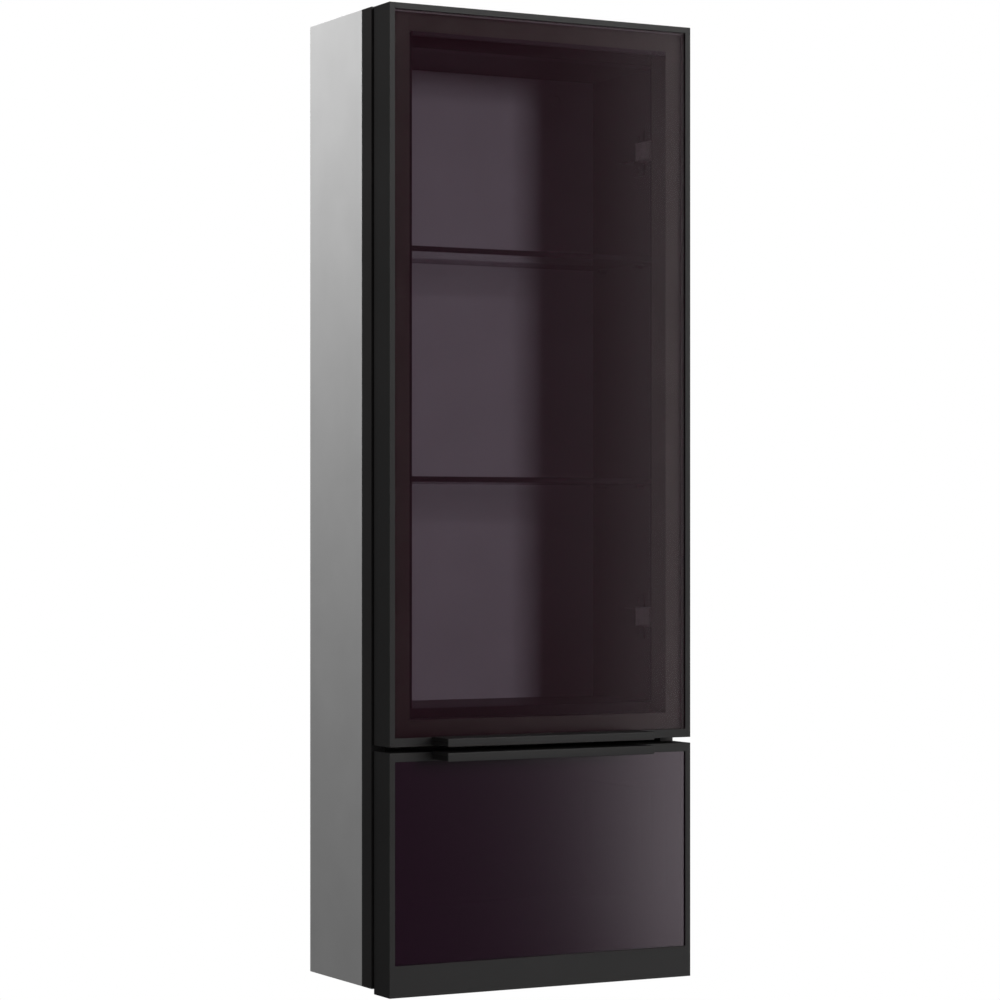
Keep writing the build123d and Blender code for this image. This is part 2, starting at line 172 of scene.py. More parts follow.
def rounded_outline(points: list[tuple[float, float]], radii: list[float], steps: int = 4) -> np.ndarray:
    """A flat outline with its corners turned into arcs.

    At each corner the arc's centre lies on the bisector, and its two ends lie where the arc touches the
    straight sides: the radius divided by the tangent of half the corner's angle, from the corner.

    Args:
        points: corners in order.
        radii: one radius for each corner; nought keeps it sharp.
        steps: points on each arc.
    Returns:
        An array of points by two.
    """
    corner = np.array(points, float)
    before = np.roll(corner, 1, 0) - corner
    after = np.roll(corner, -1, 0) - corner
    before /= np.linalg.norm(before, axis=1)[:, None]
    after /= np.linalg.norm(after, axis=1)[:, None]
    out = []
    for place, back, ahead, radius in zip(corner, before, after, radii):
        if radius == 0:
            out.append(place[None])
            continue
        half = math.acos(float(np.clip(back @ ahead, -1, 1))) / 2
        reach = radius / math.tan(half)
        bisector = (back + ahead) / np.linalg.norm(back + ahead)
        centre = place + bisector * radius / math.sin(half)
        first = place + back * reach - centre
        last = place + ahead * reach - centre
        turn = math.atan2(first[0] * last[1] - first[1] * last[0], first @ last)
        angle = np.linspace(0, turn, steps)
        out.append(centre + np.stack([first[0] * np.cos(angle) - first[1] * np.sin(angle),
                                      first[0] * np.sin(angle) + first[1] * np.cos(angle)], -1))
    return np.vstack(out)


def bar(outline: np.ndarray, start: float, end: float) -> Shell:
    """A section carried straight along X: its outline, repeated at both ends, with quads between.

    Args:
        outline: section, points by two, as Y and Z in metres.
        start: X of the first end.
        end: X of the other end.
    Returns:
        The shell, closed by the outline at both ends.
    """
    ring = np.array([start, end])
    x = np.repeat(ring, len(outline))
    points = np.column_stack([x, np.tile(outline, (2, 1))])
    count = len(outline)
    caps = [tuple(range(count))[::-1], tuple(range(count, 2 * count))]
    return Shell(points, grid_faces(2, count) + caps)


def picture_frame(outline: np.ndarray, low: np.ndarray, high: np.ndarray) -> Shell:
    """A section carried round an upright rectangle, mitred at its corners.

    The outline's first number is the distance inward from the rectangle and its second the distance back
    from the front, so each corner's copy is the corner moved inward along X and Z by the first number.

    Args:
        outline: section, points by two, in metres.
        low: lowest corner of the rectangle's box; its Y is the front.
        high: highest corner of the rectangle's box.
    Returns:
        The closed shell.
    """
    corner_x = np.array([low[0], high[0], high[0], low[0]])
    corner_z = np.array([low[2], low[2], high[2], high[2]])
    inward_x = np.array([1, -1, -1, 1])
    inward_z = np.array([1, 1, -1, -1])
    x = corner_x[:, None] + inward_x[:, None] * outline[None, :, 0]
    z = corner_z[:, None] + inward_z[:, None] * outline[None, :, 0]
    y = np.broadcast_to(low[1] + outline[None, :, 1], x.shape)
    points = np.stack([x, y, z], -1).reshape(-1, 3)
    return Shell(points, grid_faces(4, len(outline), close_rows=True))


def dome(radius: float, thick: float, place: np.ndarray, segments: int = 24, steps: int = 7) -> Shell:
    """A low dome that stands out towards the front: a quarter ellipse turned about an axis along Y.

    Each ring's radius is the dome's radius times the cosine of the turn along the quarter, and its height is
    the thickness times the sine. A flat back and a tiny flat pole close it.

    Args:
        radius: radius of the flat back, in metres.
        thick: height of the dome, in metres.
        place: middle of the flat back.
        segments: points round each ring.
        steps: points along the quarter ellipse.
    Returns:
        The closed shell.
    """
    turn = np.linspace(0, math.pi / 2, steps)[:-1]
    radii = np.concatenate([[SHARP_POINT], radius * np.cos(turn), [SHARP_POINT]])
    heights = np.concatenate([[0.0], thick * np.sin(turn), [thick]])
    angle = np.linspace(0, 2 * math.pi, segments, endpoint=False)
    x = place[0] + radii[:, None] * np.cos(angle)[None]
    z = place[2] + radii[:, None] * np.sin(angle)[None]
    y = np.broadcast_to((place[1] - heights)[:, None], x.shape)
    points = np.stack([x, y, z], -1).reshape(-1, 3)
    ends = [tuple(range(segments))[::-1], tuple(range(len(points) - segments, len(points)))]
    return Shell(points, grid_faces(len(radii), segments) + ends)


def make_piece(name: str, shell: Shell, smooth_angle: float = 35.0) -> bpy.types.Object:
    """Put a shell into a new object at the origin, merge its doubled points and face it outward.

    Args:
        name: the piece's name.
        shell: points and faces in metres.
        smooth_angle: faces that meet at less than this many degrees are shaded smooth.
    Returns:
        The object, linked to the scene.
    """
    mesh = bpy.data.meshes.new(name)
    mesh.from_pydata(shell.points.tolist(), [], shell.faces)
    work = bmesh.new()
    work.from_mesh(mesh)
    bmesh.ops.remove_doubles(work, verts=work.verts, dist=WELD)
    bmesh.ops.dissolve_degenerate(work, edges=work.edges, dist=WELD)
    bmesh.ops.recalc_face_normals(work, faces=work.faces)
    work.to_mesh(mesh)
    work.free()
    mesh.shade_smooth()
    mesh.set_sharp_from_angle(angle=math.radians(smooth_angle))
    piece = bpy.data.objects.new(name, mesh)
    bpy.context.scene.collection.objects.link(piece)
    flatten = piece.modifiers.new("flat_faces_stay_flat", "WEIGHTED_NORMAL")
    flatten.keep_sharp = True
    return piece


def softened_copy(node: str, width: float) -> bpy.types.Object:
    """A copy of a CAD node with its points merged, its flat faces joined and its edges bevelled.

    Args:
        node: the CAD node's name.
        width: bevel width in metres.
    Returns:
        The copy, linked to the scene.
    """
    mesh = frame["nodes"][node].data.copy()
    mesh.name = "made_" + node
    mesh.materials.clear()
    work = bmesh.new()
    work.from_mesh(mesh)
    bmesh.ops.remove_doubles(work, verts=work.verts, dist=2 * WELD)
    bmesh.ops.dissolve_limit(work, angle_limit=math.radians(1), verts=work.verts, edges=work.edges)
    work.to_mesh(mesh)
    work.free()
    mesh.shade_smooth()
    mesh.set_sharp_from_angle(angle=math.radians(30))
    piece = bpy.data.objects.new("made_" + node, mesh)
    bpy.context.scene.collection.objects.link(piece)
    bevel = piece.modifiers.new("broken_edges", "BEVEL")
    bevel.width = width
    bevel.segments = 2
    bevel.limit_method = "ANGLE"
    bevel.angle_limit = math.radians(40)
    bevel.harden_normals = True
    return piece


# ---------------------------------------------------------------- finishes
class Grain(Enum):
    """How a finish's fine pattern lies."""

    EVEN = (1.0, 1.0, 1.0)
    UPRIGHT = (1.0, 1.0, 0.05)
    LEVEL = (0.05, 1.0, 1.0)


@dataclass(frozen=True)
class Finish:
    """A solid finish: one base colour with a fine pattern in colour, roughness and bump."""

    name: str
    colour: str
    deep_colour: str
    roughness: float
    roughness_swing: float
    metallic: float = 0.0
    grain_mm: float = 0.6
    wide_mm: float = 60.0
    bump: float = 0.05
    grain: Grain = Grain.EVEN
    ior: float = 1.5

    def build(self) -> bpy.types.Material:
        """Make the material.

        The colour runs from the deep colour to the base colour with a wide soft noise and the fine noise
        multiplied into it; the fine noise also moves the roughness and drives the bump.

        Returns:
            The material.
        """
        material = bpy.data.materials.new(self.name)
        material.use_nodes = True
        tree = material.node_tree
        tree.nodes.clear()
        place = add_node(tree, "ShaderNodeTexCoord")
        fine_map = add_node(tree, "ShaderNodeMapping", {"Scale": self.grain.value},
                            {"Vector": place.outputs["Object"]})
        fine = add_node(tree, "ShaderNodeTexNoise",
                        {"Scale": 1 / (self.grain_mm * MM), "Detail": 3.0, "Roughness": 0.6},
                        {"Vector": fine_map.outputs[0]})
        wide = add_node(tree, "ShaderNodeTexNoise",
                        {"Scale": 1 / (self.wide_mm * MM), "Detail": 2.0, "Roughness": 0.5},
                        {"Vector": place.outputs["Object"]})
        blend = add_node(tree, "ShaderNodeMath", {".operation": "MULTIPLY_ADD", 1: 0.55},
                         {0: fine.outputs[0], 2: wide.outputs[0]})
        ramp = add_node(tree, "ShaderNodeMapRange",
                        {"From Min": 0.5, "From Max": 1.05}, {"Value": blend.outputs[0]})
        colour = add_node(tree, "ShaderNodeMix",
                          {".data_type": "RGBA", 6: linear(self.deep_colour), 7: linear(self.colour)},
                          {0: ramp.outputs[0]})
        rough = add_node(tree, "ShaderNodeMapRange",
                         {"From Min": 0.3, "From Max": 0.7, "To Min": self.roughness - self.roughness_swing,
                          "To Max": self.roughness + self.roughness_swing}, {"Value": fine.outputs[0]})
        bump = add_node(tree, "ShaderNodeBump", {"Strength": self.bump, "Distance": self.grain_mm * MM * 0.5},
                        {"Height": fine.outputs[0]})
        shader = add_node(tree, "ShaderNodeBsdfPrincipled",
                          {"Metallic": self.metallic, "IOR": self.ior},
                          {"Base Color": colour.outputs[2], "Roughness": rough.outputs[0],
                           "Normal": bump.outputs[0]})
        add_node(tree, "ShaderNodeOutputMaterial", links={"Surface": shader.outputs[0]})
        return material


@dataclass(frozen=True)
class SheetGlass:
    """Float glass: a glossy face over a tint that lets light and sight straight through."""

    name: str
    face_colour: str
    tint: str
    clearness: float
    roughness: float
    ripple_mm: float = 400.0
    ior: float = 1.52
    sheen: str = "ffffff"

    def build(self) -> bpy.types.Material:
        """Make the material.

        A Principled face is mixed with a tinted Transparent by one share, the clearness, and a very long
        ripple moves the roughness as rolled glass has it.

        Returns:
            The material.
        """
        material = bpy.data.materials.new(self.name)
        material.use_nodes = True
        tree = material.node_tree
        tree.nodes.clear()
        place = add_node(tree, "ShaderNodeTexCoord")
        ripple = add_node(tree, "ShaderNodeTexNoise", {"Scale": 1 / (self.ripple_mm * MM), "Detail": 1.0},
                          {"Vector": place.outputs["Object"]})
        rough = add_node(tree, "ShaderNodeMapRange",
                         {"To Min": self.roughness * 0.92, "To Max": self.roughness * 1.08},
                         {"Value": ripple.outputs[0]})
        face = add_node(tree, "ShaderNodeBsdfPrincipled",
                        {"Base Color": linear(self.face_colour), "IOR": self.ior,
                         "Specular Tint": linear(self.sheen)},
                        {"Roughness": rough.outputs[0]})
        through = add_node(tree, "ShaderNodeBsdfTransparent", {"Color": linear(self.tint)})
        mixed = add_node(tree, "ShaderNodeMixShader", {0: self.clearness},
                         {1: face.outputs[0], 2: through.outputs[0]})
        add_node(tree, "ShaderNodeOutputMaterial", links={"Surface": mixed.outputs[0]})
        return material


# Melamine-faced chipboard, pressed with a fine pearl texture: an even pale grey with a soft, dull sheen.
MELAMINE = Finish("melamine_board_pearl_pressed", "bcbcbc", "b6b6b6", 0.55, 0.06, grain_mm=1.2, bump=0.08)
# The back board is thinner, with a smoother printed face.
BACK_BOARD = Finish("printed_fibreboard", "b4b4b4", "adadad", 0.6, 0.05, grain_mm=1.6, bump=0.05)
# Dark melamine inside the cabinet and on the drawer box, with a soft grey sheen towards the light. On the
# cabinet's inner faces it is painted shade: the dark colour stands in for the shade inside the cabinet.
DARK_AND_SHADE_BOARD = Finish("anthracite_melamine_and_painted_shade", "2b2829", "262324", 0.5, 0.06, grain_mm=1.2,
                    bump=0.08)
# Painted shade: a near-black melamine colour on the top board's underside, which stands in for the shade
# under the top board.
TOP_UNDERSIDE_SHADE = Finish("top_underside_painted_shade", "100e0f", "0d0b0c", 0.6, 0.06, grain_mm=1.2, bump=0.08)
# Black anodised aluminium, bead blasted before the bath: near black, with a silky grey sheen along the light.
EDGE_BLACK = Finish("black_anodised_aluminium_matt", "1c1a1a", "171515", 0.55, 0.05, 0.0, 0.5, 90.0, 0.06)
FRAME_BLACK = Finish("black_anodised_aluminium_blasted", "191818", "151414", 0.55, 0.05, 0.0, 0.5, 90.0, 0.06)
# The chambers behind the glass keep bright metal under a thin bronze bath: a soft, wide metal sheen.
CHAMBER = Finish("bronze_anodised_aluminium_extruded", "747569", "65665b", 0.34, 0.05,
                 1.0, 0.5, 60.0, 0.04, Grain.UPRIGHT)
# Extruded EPDM rubber: dull black.
RUBBER = Finish("epdm_rubber_extruded", "121111", "0d0c0c", 0.75, 0.08, grain_mm=0.8, bump=0.15)
# Grey silicone cord round the panes: soft and even, so the frame's chamber seems to run on under the lip.
CORD = Finish("grey_silicone_extruded", "9a9692", "8e8a86", 0.5, 0.06, grain_mm=0.8, bump=0.08)
# Grey brush seal under the top rail: dull, a little lighter than the shadow behind it.
BRUSH = Finish("grey_pile_seal_woven", "454143", "393637", 0.8, 0.08, grain_mm=0.5, bump=0.3)
# Zinc-plated pressed steel: bright grey with fine drawn lines.
ZINC = Finish("zinc_plated_steel_pressed", "b9bab8", "9a9b9a", 0.34, 0.08, 0.6, 0.7, 20.0, 0.08)
# Nickel-plated steel: warmer and smoother than zinc.
NICKEL = Finish("nickel_plated_steel_satin", "c5c0b8", "b0aba3", 0.3, 0.05, 0.5, 0.9, 25.0, 0.04)
# Black nickel: the small shelf pins nearly vanish against the dark sides.
DARK_NICKEL = Finish("black_nickel_plated_steel", "3a3838", "302e2e", 0.4, 0.05, 0.6, 0.9, 25.0, 0.04)
# Die-cast zinc: grainy, with a soft sheen.
CAST = Finish("die_cast_zinc_tumbled", "9c9d9e", "808182", 0.5, 0.1, 1.0, 0.8, 12.0, 0.2)
# Turned beech: pink-brown with grain along the dowel.
BEECH = Finish("beech_turned", "c79b6c", "a97a4c", 0.6, 0.08, grain_mm=0.9, wide_mm=8.0, bump=0.2,
               grain=Grain.LEVEL)
# Cast silicone: milky and soft.
SILICONE = Finish("silicone_cast", "a9a9a6", "9d9d9a", 0.3, 0.05, grain_mm=1.5, bump=0.03, ior=1.41)
# Smoked float glass, dyed in the melt: brown-purple, with blurred reflections from a satin face.
SMOKED = SheetGlass("smoked_float_glass", "4e1a30", "d7d3d8", 0.85, 0.16)
# The drawer's pane is smoked too, and inked on its back, so little light comes through and its face
# looks glossier.
INKED = SheetGlass("smoked_float_glass_inked", "240a1e", "f4f0f4", 0.14, 0.17, ior=1.455, sheen="fff5fd")
# Clear float glass: nearly colourless, with a faint green cast.
CLEAR = SheetGlass("clear_float_glass", "0c100e", "fafcfb", 0.93, 0.05)
# The shelves' side and rear edges let part of the light along. Their dim face is partly the look of a glass
# edge and partly painted shade, which stands in for the shelf's shadow on the back board along the rear edge.
EDGE_CLEAR_AND_SHADE = SheetGlass("clear_float_glass_side_edge_and_painted_shade", "141416", "e6e4e6", 0.9, 0.3)
# The shelves' ground front edges, where the eye looks along the sheet: dark, with a dull ground face.
GROUND_EDGE = Finish("clear_float_glass_ground_edge", "141013", "0f0b0e", 0.5, 0.06, 0.0, 0.7, 30.0, 0.1)


@dataclass
class Dresser:
    """Keeps one material for each finish and puts pieces on their bodies."""

    made: dict[str, bpy.types.Material] = field(default_factory=dict)

    def material(self, finish: Finish | SheetGlass) -> bpy.types.Material:
        """The finish's material, built once."""
        if finish.name not in self.made:
            self.made[finish.name] = finish.build()
        return self.made[finish.name]

    def dress(self, piece: bpy.types.Object, body: str, slot: str, finish: Finish | SheetGlass,
              replaced: tuple[str, ...] = ()) -> bpy.types.Object:
        """Give a new piece its finish and body, log its slot, and hide the CAD nodes that it stands for.

        Args:
            piece: the new piece.
            body: the CAD body it rides on.
            slot: the record's material slot.
            finish: its finish.
            replaced: CAD nodes that it stands for.
        Returns:
            The piece.
        """
        piece.data.materials.clear()
        piece.data.materials.append(self.material(finish))
        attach(piece, body)
        if replaced:
            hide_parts(*replaced)
        log.info("%s rides on %s as %s, %d faces", piece.name, body, slot, len(piece.data.polygons))
        return piece

    def line(self, piece: bpy.types.Object, finish: Finish | SheetGlass,
             rule: Callable[[np.ndarray, np.ndarray], np.ndarray]) -> None:
        """Give some faces of a piece a second finish.

        Args:
            piece: the piece, already dressed.
            finish: the second finish.
            rule: takes the faces' middles and normals, and returns which faces it covers.
        """
        faces = piece.data.polygons
        middle = np.empty(3 * len(faces))
        normal = np.empty(3 * len(faces))
        faces.foreach_get("center", middle)
        faces.foreach_get("normal", normal)
        index = np.empty(len(faces), np.int32)
        faces.foreach_get("material_index", index)
        index[rule(middle.reshape(-1, 3), normal.reshape(-1, 3))] = len(piece.data.materials)
        piece.data.materials.append(self.material(finish))
        faces.foreach_set("material_index", index)

    def repaint(self, node: str, finish: Finish | SheetGlass) -> None:
        """Give a CAD node, which keeps its shape, its finish.

        Args:
            node: the node's name.
            finish: its finish.
        """
        data = frame["nodes"][node].data
        data.materials.clear()
        data.materials.append(self.material(finish))
        log.info("%s keeps its CAD shape in %s", node, finish.name)


# ---------------------------------------------------------------- sub-assemblies
@dataclass
class Carcass:
    """Boards, black front edge frame, back board and their joints."""

    dresser: Dresser
    board_radius: float = 0.8 * MM
    edge_radius: float = 0.5 * MM
    cap_radius: float = 6.5 * MM
    cap_thick: float = 1.6 * MM
    bumper_radius: float = 4.0 * MM
    bumper_reach: float = 12.0 * MM

    def build(self) -> None:
        """Boards and edges with rounded arrises in place of the sharp CAD solids."""
        # Inner faces get dark finishes: painted shade, standing in for the dim inside of the cabinet.
        inner_faces = {
            "side_panel_left": (DARK_AND_SHADE_BOARD, lambda middle, normal: normal[:, 0] > 0.5),
            "side_panel_right": (DARK_AND_SHADE_BOARD, lambda middle, normal: normal[:, 0] < -0.5),
            # Painted shade: the top board's underside is near black to stand in for the shade under it.
            "top_panel": (TOP_UNDERSIDE_SHADE, lambda middle, normal: normal[:, 2] < -0.5),
            "bottom_panel": (DARK_AND_SHADE_BOARD, lambda middle, normal: normal[:, 2] > 0.5),
            "divider_panel": (DARK_AND_SHADE_BOARD, lambda middle, normal: abs(normal[:, 2]) > 0.5),
        }
        for node, (finish, rule) in inner_faces.items():
            piece = self.block(node, self.board_radius, "melamine_board", MELAMINE)
            self.dresser.line(piece, finish, rule)
        for side in ("left", "right", "top", "middle", "bottom"):
            self.block("front_edge_" + side, self.edge_radius, "edge_frame", EDGE_BLACK)
        self.dresser.repaint("back_panel", BACK_BOARD)
        self.dresser.repaint("board_dowels", BEECH)
        self.bumpers()
        self.fixing_caps()

    def block(self, node: str, radius: float, slot: str, finish: Finish) -> bpy.types.Object:
        """One rounded board in place of its CAD node.

        Args:
            node: the CAD node.
            radius: edge radius, in metres.
            slot: the record's material slot.
            finish: the board's finish.
        Returns:
            The board.
        """
        piece = make_piece("made_" + node, rounded_block(*corners(node), radius))
        return self.dresser.dress(piece, "carcass", slot, finish, (node,))

    def fixing_caps(self) -> None:
        """Low domed caps over the four wall fixings, on the back board's front face."""
        front = corners("back_panel")[0][1]
        mount = next(m for m in frame["record"]["mounts"] if m["name"] == "wall_fixings")["dims"]
        half_x, half_z = mount["spacing_x_mm"] / 2 * MM, mount["spacing_y_mm"] / 2 * MM
        domes = [dome(self.cap_radius, self.cap_thick, np.array([side * half_x, front, level * half_z]))
                 for side in (-1, 1) for level in (-1, 1)]
        caps = make_piece("made_fixing_caps", sum(domes[1:], domes[0]))
        self.dresser.dress(caps, "carcass", "back_board", BACK_BOARD)

    def bumpers(self) -> None:
        """Soft dots: one dome at the place of each CAD bumper, as thick as the bumper."""
        low, high = corners("bumpers")
        domes = [dome(self.bumper_radius, high[1] - low[1], np.array([place[0], high[1], place[2]]), steps=6)
                 for place in self.bumper_places()]
        dots = make_piece("made_bumpers", sum(domes[1:], domes[0]))
        self.dresser.dress(dots, "carcass", "bumper_silicone", SILICONE, ("bumpers",))

    def bumper_places(self) -> list[np.ndarray]:
        """Middles of the CAD bumpers: each is the points within a reach of the first point left over.

        Returns:
            One point for each bumper.
        """
        vertices = frame["nodes"]["bumpers"].data.vertices
        left = np.empty(3 * len(vertices))
        vertices.foreach_get("co", left)
        left = left.reshape(-1, 3)
        found = []
        while len(left):
            near = np.linalg.norm(left - left[0], axis=1) < self.bumper_reach
            found.append((left[near].min(0) + left[near].max(0)) / 2)
            left = left[~near]
        return found


@dataclass
class Shelves:
    """Two glass shelves with ground edges, on turned pins."""

    dresser: Dresser
    arris: float = 0.7 * MM

    def build(self) -> None:
        """Panes with rounded arrises, and pins in their CAD places."""
        for node in ("shelf_lower", "shelf_upper"):
            pane = make_piece("made_" + node, rounded_block(*corners(node), self.arris))
            self.dresser.dress(pane, "carcass", "shelf_glass", CLEAR, (node,))
            # Side and rear edges: partly a glass edge, partly painted shade for the shelf's shadow on the
            # back board.
            self.dresser.line(pane, EDGE_CLEAR_AND_SHADE, lambda middle, normal: abs(normal[:, 2]) < 0.8)
            self.dresser.line(pane, GROUND_EDGE, lambda middle, normal: normal[:, 1] < -0.5)
        self.dresser.repaint("shelf_pins", DARK_NICKEL)


@dataclass
class GlassFront:
    """One framed smoked-glass front: members, pane, gasket, cleats and pull."""

    dresser: Dresser
    name: str
    glass: SheetGlass
    edge: float = 0.35 * MM
    pane_arris: float = 0.4 * MM
    chamber_inset: float = 3 * MM
    chamber_depth: float = 5 * MM
    gasket_width: float = 5.6 * MM
    pull_wall: float = 2.2 * MM
    pull_flange: float = 3.2 * MM
    pull_bevel: float = 0.3 * MM
    plug_inset: float = 0.5 * MM
    plug_length: float = 1.6 * MM
    plug_rise: float = 0.4 * MM
    seal_back: float = 10.0 * MM
    seal_lap: float = 0.3 * MM
    seal_width: float = 3.0 * MM
    seal_thick: float = 2.4 * MM
    seal_foot: float = 38 * MM
    seal_head: float = 27 * MM
    brush_gap: float = 0.2 * MM
    brush_thick: float = 2.2 * MM
    brush_height: float = 4.5 * MM

    def build(self) -> None:
        """Build every piece of the front."""
        for member in ("stile_left", "stile_right", "rail_top", "rail_bottom"):
            node = f"{self.name}_{member}"
            piece = softened_copy(node, self.edge)
            self.dresser.dress(piece, self.name, "front_frame", FRAME_BLACK, (node,))
            self.line_chamber(piece)
        node = self.name + "_glass"
        pane = make_piece("made_" + node, rounded_block(*corners(node), self.pane_arris))
        self.dresser.dress(pane, self.name, "smoked_glass", self.glass, (node,))
        self.gasket()
        self.pull()
        self.dresser.repaint(self.name + "_corner_cleats", CAST)
        self.dresser.repaint(self.name + "_corner_screws", ZINC)

    def line_chamber(self, piece: bpy.types.Object) -> None:
        """Give the faces behind the glass the chamber's finish.

        A face counts when its middle lies farther inward from the front's outline than the chamber's inset,
        and farther behind the front's face than the chamber's depth.

        Args:
            piece: a frame member.
        """
        low, _ = corners(self.name + "_stile_left")
        _, high = corners(self.name + "_stile_right")

        def behind_glass(middle: np.ndarray, _: np.ndarray) -> np.ndarray:
            """Whether each face lies behind the glass."""
            x, y, z = middle.T
            inward = np.minimum.reduce([x - low[0], high[0] - x, z - low[2], high[2] - z])
            return (inward > self.chamber_inset) & (y > low[1] + self.chamber_depth)

        self.dresser.line(piece, CHAMBER, behind_glass)

    def gasket(self) -> None:
        """A rubber strip behind the pane: a rounded section carried round the opening."""
        node = self.name + "_gasket"
        low, high = corners(node)
        deep = high[1] - low[1]
        wide = self.gasket_width
        section = rounded_outline([(0, 0), (wide, 0), (wide, deep), (0, deep)], [0, 0.5 * MM, 0.6 * MM, 0], 4)
        strip = make_piece("made_" + node, picture_frame(section, low, high))
        self.dresser.dress(strip, self.name, "gasket_rubber", CORD, (node,))

    def pull(self) -> None:
        """The pull: a folded section with rounded bends, carried along X, its ends bevelled and plugged."""
        node = self.name + "_handle"
        low, high = corners(node)
        wall, flange = self.pull_wall, self.pull_flange
        y0, y1, z0, z1 = low[1], high[1], low[2], high[2]
        points = [(y1, z0), (y1, z1), (y0, z1), (y0, z0), (y0 + wall, z0), (y0 + wall, z1 - flange),
                  (y1 - wall, z1 - flange), (y1 - wall, z0)]
        radii = [0, 0, 1.2 * MM, 0.6 * MM, 0.6 * MM, 1.0 * MM, 1.0 * MM, 0.4 * MM]
        piece = make_piece("made_" + node, bar(rounded_outline(points, radii, 5), low[0], high[0]))
        bevel = piece.modifiers.new("broken_ends", "BEVEL")
        bevel.width = self.pull_bevel
        bevel.segments = 2
        bevel.limit_method = "ANGLE"
        bevel.angle_limit = math.radians(60)
        self.dresser.dress(piece, self.name, "pull_aluminium", FRAME_BLACK, (node,))
        plugs = [rounded_block(np.array([x, y0 + wall, z0 + self.plug_rise]),
                               np.array([x + self.plug_length, y1 - wall, z1 - flange]), self.pull_bevel)
                 for x in (low[0] + self.plug_inset, high[0] - self.plug_inset - self.plug_length)]
        self.dresser.dress(make_piece(f"made_{self.name}_pull_ends", plugs[0] + plugs[1]), self.name,
                           "gasket_rubber", RUBBER)

    def seal(self) -> None:
        """Two soft strips: one up the closing stile's chamber, and a brush under the top rail's."""
        low, high = corners(self.name + "_stile_left")
        back = low[1] + self.seal_back
        self.strip("seal", RUBBER,
                   np.array([high[0] - self.seal_lap, back - self.seal_thick, low[2] + self.seal_foot]),
                   np.array([high[0] + self.seal_width, back, high[2] - self.seal_head]))
        left = high[0] + self.seal_width + self.brush_gap
        right = corners(self.name + "_stile_right")[0][0] - self.brush_gap
        under = corners(self.name + "_rail_top")[0][2]
        self.strip("top_seal", BRUSH,
                   np.array([left, back - self.brush_thick, under - self.brush_height]),
                   np.array([right, back, under + self.seal_lap]))

    def strip(self, title: str, finish: Finish, low: np.ndarray, high: np.ndarray) -> None:
        """One soft strip with rounded edges.

        Args:
            title: the last part of its name.
            finish: its finish.
            low: low corner, in metres.
            high: high corner.
        """
        piece = make_piece(f"made_{self.name}_{title}", rounded_block(low, high, 0.5 * MM))
        self.dresser.dress(piece, self.name, "gasket_rubber", finish)


@dataclass
class Hinges:
    """Hinge arms and plates on the carcass, leaves and pins on the door."""

    dresser: Dresser
    cover: float = 22 * MM
    arris: float = 0.3 * MM

    def build(self) -> None:
        """Softened pressings: bright covers at the front of dark arms."""
        for level in ("upper", "lower"):
            for kind in ("plate", "arm"):
                node = f"hinge_{kind}_{level}"
                piece = softened_copy(node, self.arris)
                self.dresser.dress(piece, "carcass", "nickel_steel", DARK_NICKEL, (node,))
            cover_end = corners(node)[0][1] + self.cover
            self.dresser.line(piece, NICKEL, lambda middle, normal: middle[:, 1] < cover_end)
            self.dresser.repaint("hinge_leaf_" + level, NICKEL)
        self.dresser.repaint("hinge_plate_screws", DARK_NICKEL)
        self.dresser.repaint("hinge_leaf_screws", ZINC)
        self.dresser.repaint("hinge_pins", NICKEL)


@dataclass
class DrawerBox:
    """Drawer box boards, runners, brackets and screws."""

    dresser: Dresser

    def build(self) -> None:
        """Dark boards and plated metal, all in their CAD shapes."""
        for node in ("drawer_side_left", "drawer_side_right", "drawer_inner_front", "drawer_back",
                     "drawer_bottom"):
            self.dresser.repaint(node, DARK_AND_SHADE_BOARD)
        for side in ("left", "right"):
            self.dresser.repaint("runner_rail_" + side, ZINC)
            self.dresser.repaint("runner_slide_" + side, ZINC)
        for node in ("runner_rail_screws", "runner_slide_screws", "drawer_front_brackets",
                     "drawer_bracket_screws", "back_panel_screws"):
            self.dresser.repaint(node, ZINC)


# ---------------------------------------------------------------- studio
class Reach(Enum):
    """What a studio light serves: matt shading, or the sheen on glossy faces."""

    MATT = "matt"
    GLOSS = "gloss"


@dataclass(frozen=True)
class SoftBox:
    """An oblong area light: degrees round from the front and above the level, metres, and watts."""

    name: str
    azimuth: float
    elevation: float
    distance: float
    size: tuple[float, float]
    power: float
    reach: Reach

    def build(self, target: np.ndarray) -> None:
        """Hang the light and aim it.

        Args:
            target: the point it faces.
        """
        turn, tilt = math.radians(self.azimuth), math.radians(self.elevation)
        away = np.array([math.sin(turn) * math.cos(tilt), -math.cos(turn) * math.cos(tilt), math.sin(tilt)])
        data = bpy.data.lights.new(self.name, "AREA")
        data.shape = "RECTANGLE"
        data.size, data.size_y = self.size
        data.energy = self.power
        light = bpy.data.objects.new(self.name, data)
        light.location = Vector(target + away * self.distance)
        light.visible_camera = False
        light.visible_glossy = self.reach is Reach.GLOSS
        light.visible_diffuse = self.reach is Reach.MATT
        light.rotation_euler = Vector(away).to_track_quat("Z", "Y").to_euler()
        bpy.context.scene.collection.objects.link(light)


# The key light from the front right, and a weaker copy of it that serves only the smoked panes.
KEY = SoftBox("key_soft_box", 23.7, 9.8, 5.5, (1.1, 1.4), 350.0, Reach.MATT)
PANE_FILL = SoftBox("pane_fill", 23.7, 9.8, 5.5, (1.1, 1.4), 105.0, Reach.MATT)
# A strip near the top of the left side, which fades that side downward.
STRIP = SoftBox("strip_left", -97.0, 22.0, 0.66, (1.0, 0.12), 6.8, Reach.MATT)
# Two reflectors that show only as sheen: a tall one in the panes, a high one on the frames.
TALL = SoftBox("tall_reflector", 36.2, 2.1, 3.5, (0.48, 2.3), 13.7, Reach.GLOSS)
HIGH = SoftBox("high_reflector", 29.0, 45.0, 1.6, (1.4, 0.35), 9.5, Reach.GLOSS)


